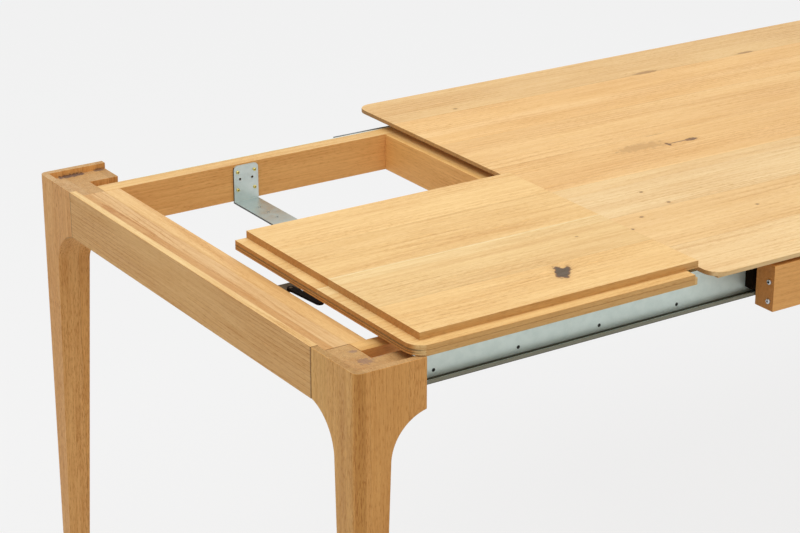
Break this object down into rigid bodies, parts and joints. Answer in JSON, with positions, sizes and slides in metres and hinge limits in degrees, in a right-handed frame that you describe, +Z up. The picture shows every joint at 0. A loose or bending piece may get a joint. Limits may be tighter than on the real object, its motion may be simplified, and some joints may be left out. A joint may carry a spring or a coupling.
{
  "type": "extending dining table",
  "caption": "Oak dining table whose leg ends draw out on steel runners, with a folding leaf laid on the drawn end and its twin stowed in a tray.",
  "frame": {"origin": "on the floor, below the middle of the table as it stands with its left end drawn out", "axes": "+X along the table towards the closed end, +Y across it to the far side, +Z up"},
  "size_m": [2.432, 1, 0.7794],
  "materials": {
    "oak": "oiled oak staves",
    "galvanised_steel": "galvanised",
    "runner_steel": "dark rolled steel",
    "dark_steel": "satin dark",
    "zinc": "zinc plated",
    "yellow_zinc": "yellow zinc plated",
    "hinge_brass": "satin",
    "black_plastic": "matt"
  },
  "bodies": {
    "leaf_lower": {"laid_leaf_lower_half": "oak", "laid_leaf_lower_hinge_barrels": "hinge_brass"},
    "leaf_upper": {"laid_leaf_upper_half": "oak", "laid_leaf_upper_hinge_barrels": "hinge_brass"},
    "left_end": {"left_channel_far": "galvanised_steel", "left_channel_near": "galvanised_steel", "left_channel_screws": "dark_steel", "left_cross_rail": "oak", "left_end_apron": "oak", "left_floor_glides": "black_plastic", "left_front_rail": "oak", "left_leg_far": "oak", "left_leg_near": "oak", "left_lock_plate": "dark_steel", "left_lock_screws": "zinc", "left_side_rail_far": "oak", "left_side_rail_near": "oak", "left_strap_screws": "yellow_zinc", "left_tail_rail": "oak", "left_tray_strap": "galvanised_steel"},
    "main_top": {"left_fixed_runner_far": "runner_steel", "left_fixed_runner_near": "runner_steel", "main_top": "oak", "middle_bearer": "oak", "right_fixed_runner_far": "runner_steel", "right_fixed_runner_near": "runner_steel", "side_apron_far": "oak", "side_apron_near": "oak", "slide_batten_far": "oak", "slide_batten_near": "oak", "stop_screws": "zinc"},
    "left_lock_lever": {"left_lock_lever": "black_plastic"},
    "left_middle_runners": {"left_middle_runner_far": "runner_steel", "left_middle_runner_near": "runner_steel", "left_runner_caps": "black_plastic"},
    "right_end": {"right_channel_far": "galvanised_steel", "right_channel_near": "galvanised_steel", "right_channel_screws": "dark_steel", "right_cross_rail": "oak", "right_end_apron": "oak", "right_floor_glides": "black_plastic", "right_front_rail": "oak", "right_leg_far": "oak", "right_leg_near": "oak", "right_lock_plate": "dark_steel", "right_lock_screws": "zinc", "right_side_rail_far": "oak", "right_side_rail_near": "oak", "right_strap_screws": "yellow_zinc", "right_tail_rail": "oak", "right_tray_strap": "galvanised_steel", "stowed_leaf_lower_half": "oak", "stowed_leaf_lower_hinge_barrels": "hinge_brass", "stowed_leaf_upper_half": "oak", "stowed_leaf_upper_hinge_barrels": "hinge_brass"},
    "right_lock_lever": {"right_lock_lever": "black_plastic"},
    "right_middle_runners": {"right_middle_runner_far": "runner_steel", "right_middle_runner_near": "runner_steel", "right_runner_caps": "black_plastic"}
  },
  "joints": [
    {"name": "left_end_slide", "type": "slide", "parent": "main_top", "child": "left_end", "axis": [1, 0, 0], "range_m": [0, 0.133]},
    {"name": "leaf_slide", "type": "slide", "parent": "main_top", "child": "leaf_lower", "axis": [1, 0, 0], "range_m": [0, 0.036]},
    {"name": "leaf_unfold", "type": "hinge", "parent": "leaf_lower", "child": "leaf_upper", "pos_m": [-0.87, 0, 0.7602], "axis": [-1, 0, 0], "range_deg": [0, 180]},
    {"name": "right_end_slide", "type": "slide", "parent": "main_top", "child": "right_end", "axis": [1, 0, 0], "range_m": [0, 0.632]},
    {"name": "left_runner_slide", "type": "slide", "parent": "main_top", "child": "left_middle_runners", "axis": [1, 0, 0], "range_m": [0, 0.0665]},
    {"name": "right_runner_slide", "type": "slide", "parent": "main_top", "child": "right_middle_runners", "axis": [1, 0, 0], "range_m": [0, 0.316]},
    {"name": "left_lever_turn", "type": "hinge", "parent": "left_end", "child": "left_lock_lever", "pos_m": [-1.027, -0.01, 0.6707], "axis": [0, 0, 1], "range_deg": [0, 60]},
    {"name": "right_lever_turn", "type": "hinge", "parent": "right_end", "child": "right_lock_lever", "pos_m": [1.027, 0.01, 0.6707], "axis": [0, 0, 1], "range_deg": [0, 60]}
  ],
  "couplings": [
    {"joint": "leaf_slide", "follows": "left_end_slide", "ratio": 0.27068},
    {"joint": "left_runner_slide", "follows": "left_end_slide", "ratio": 0.5},
    {"joint": "right_runner_slide", "follows": "right_end_slide", "ratio": 0.5}
  ]
}
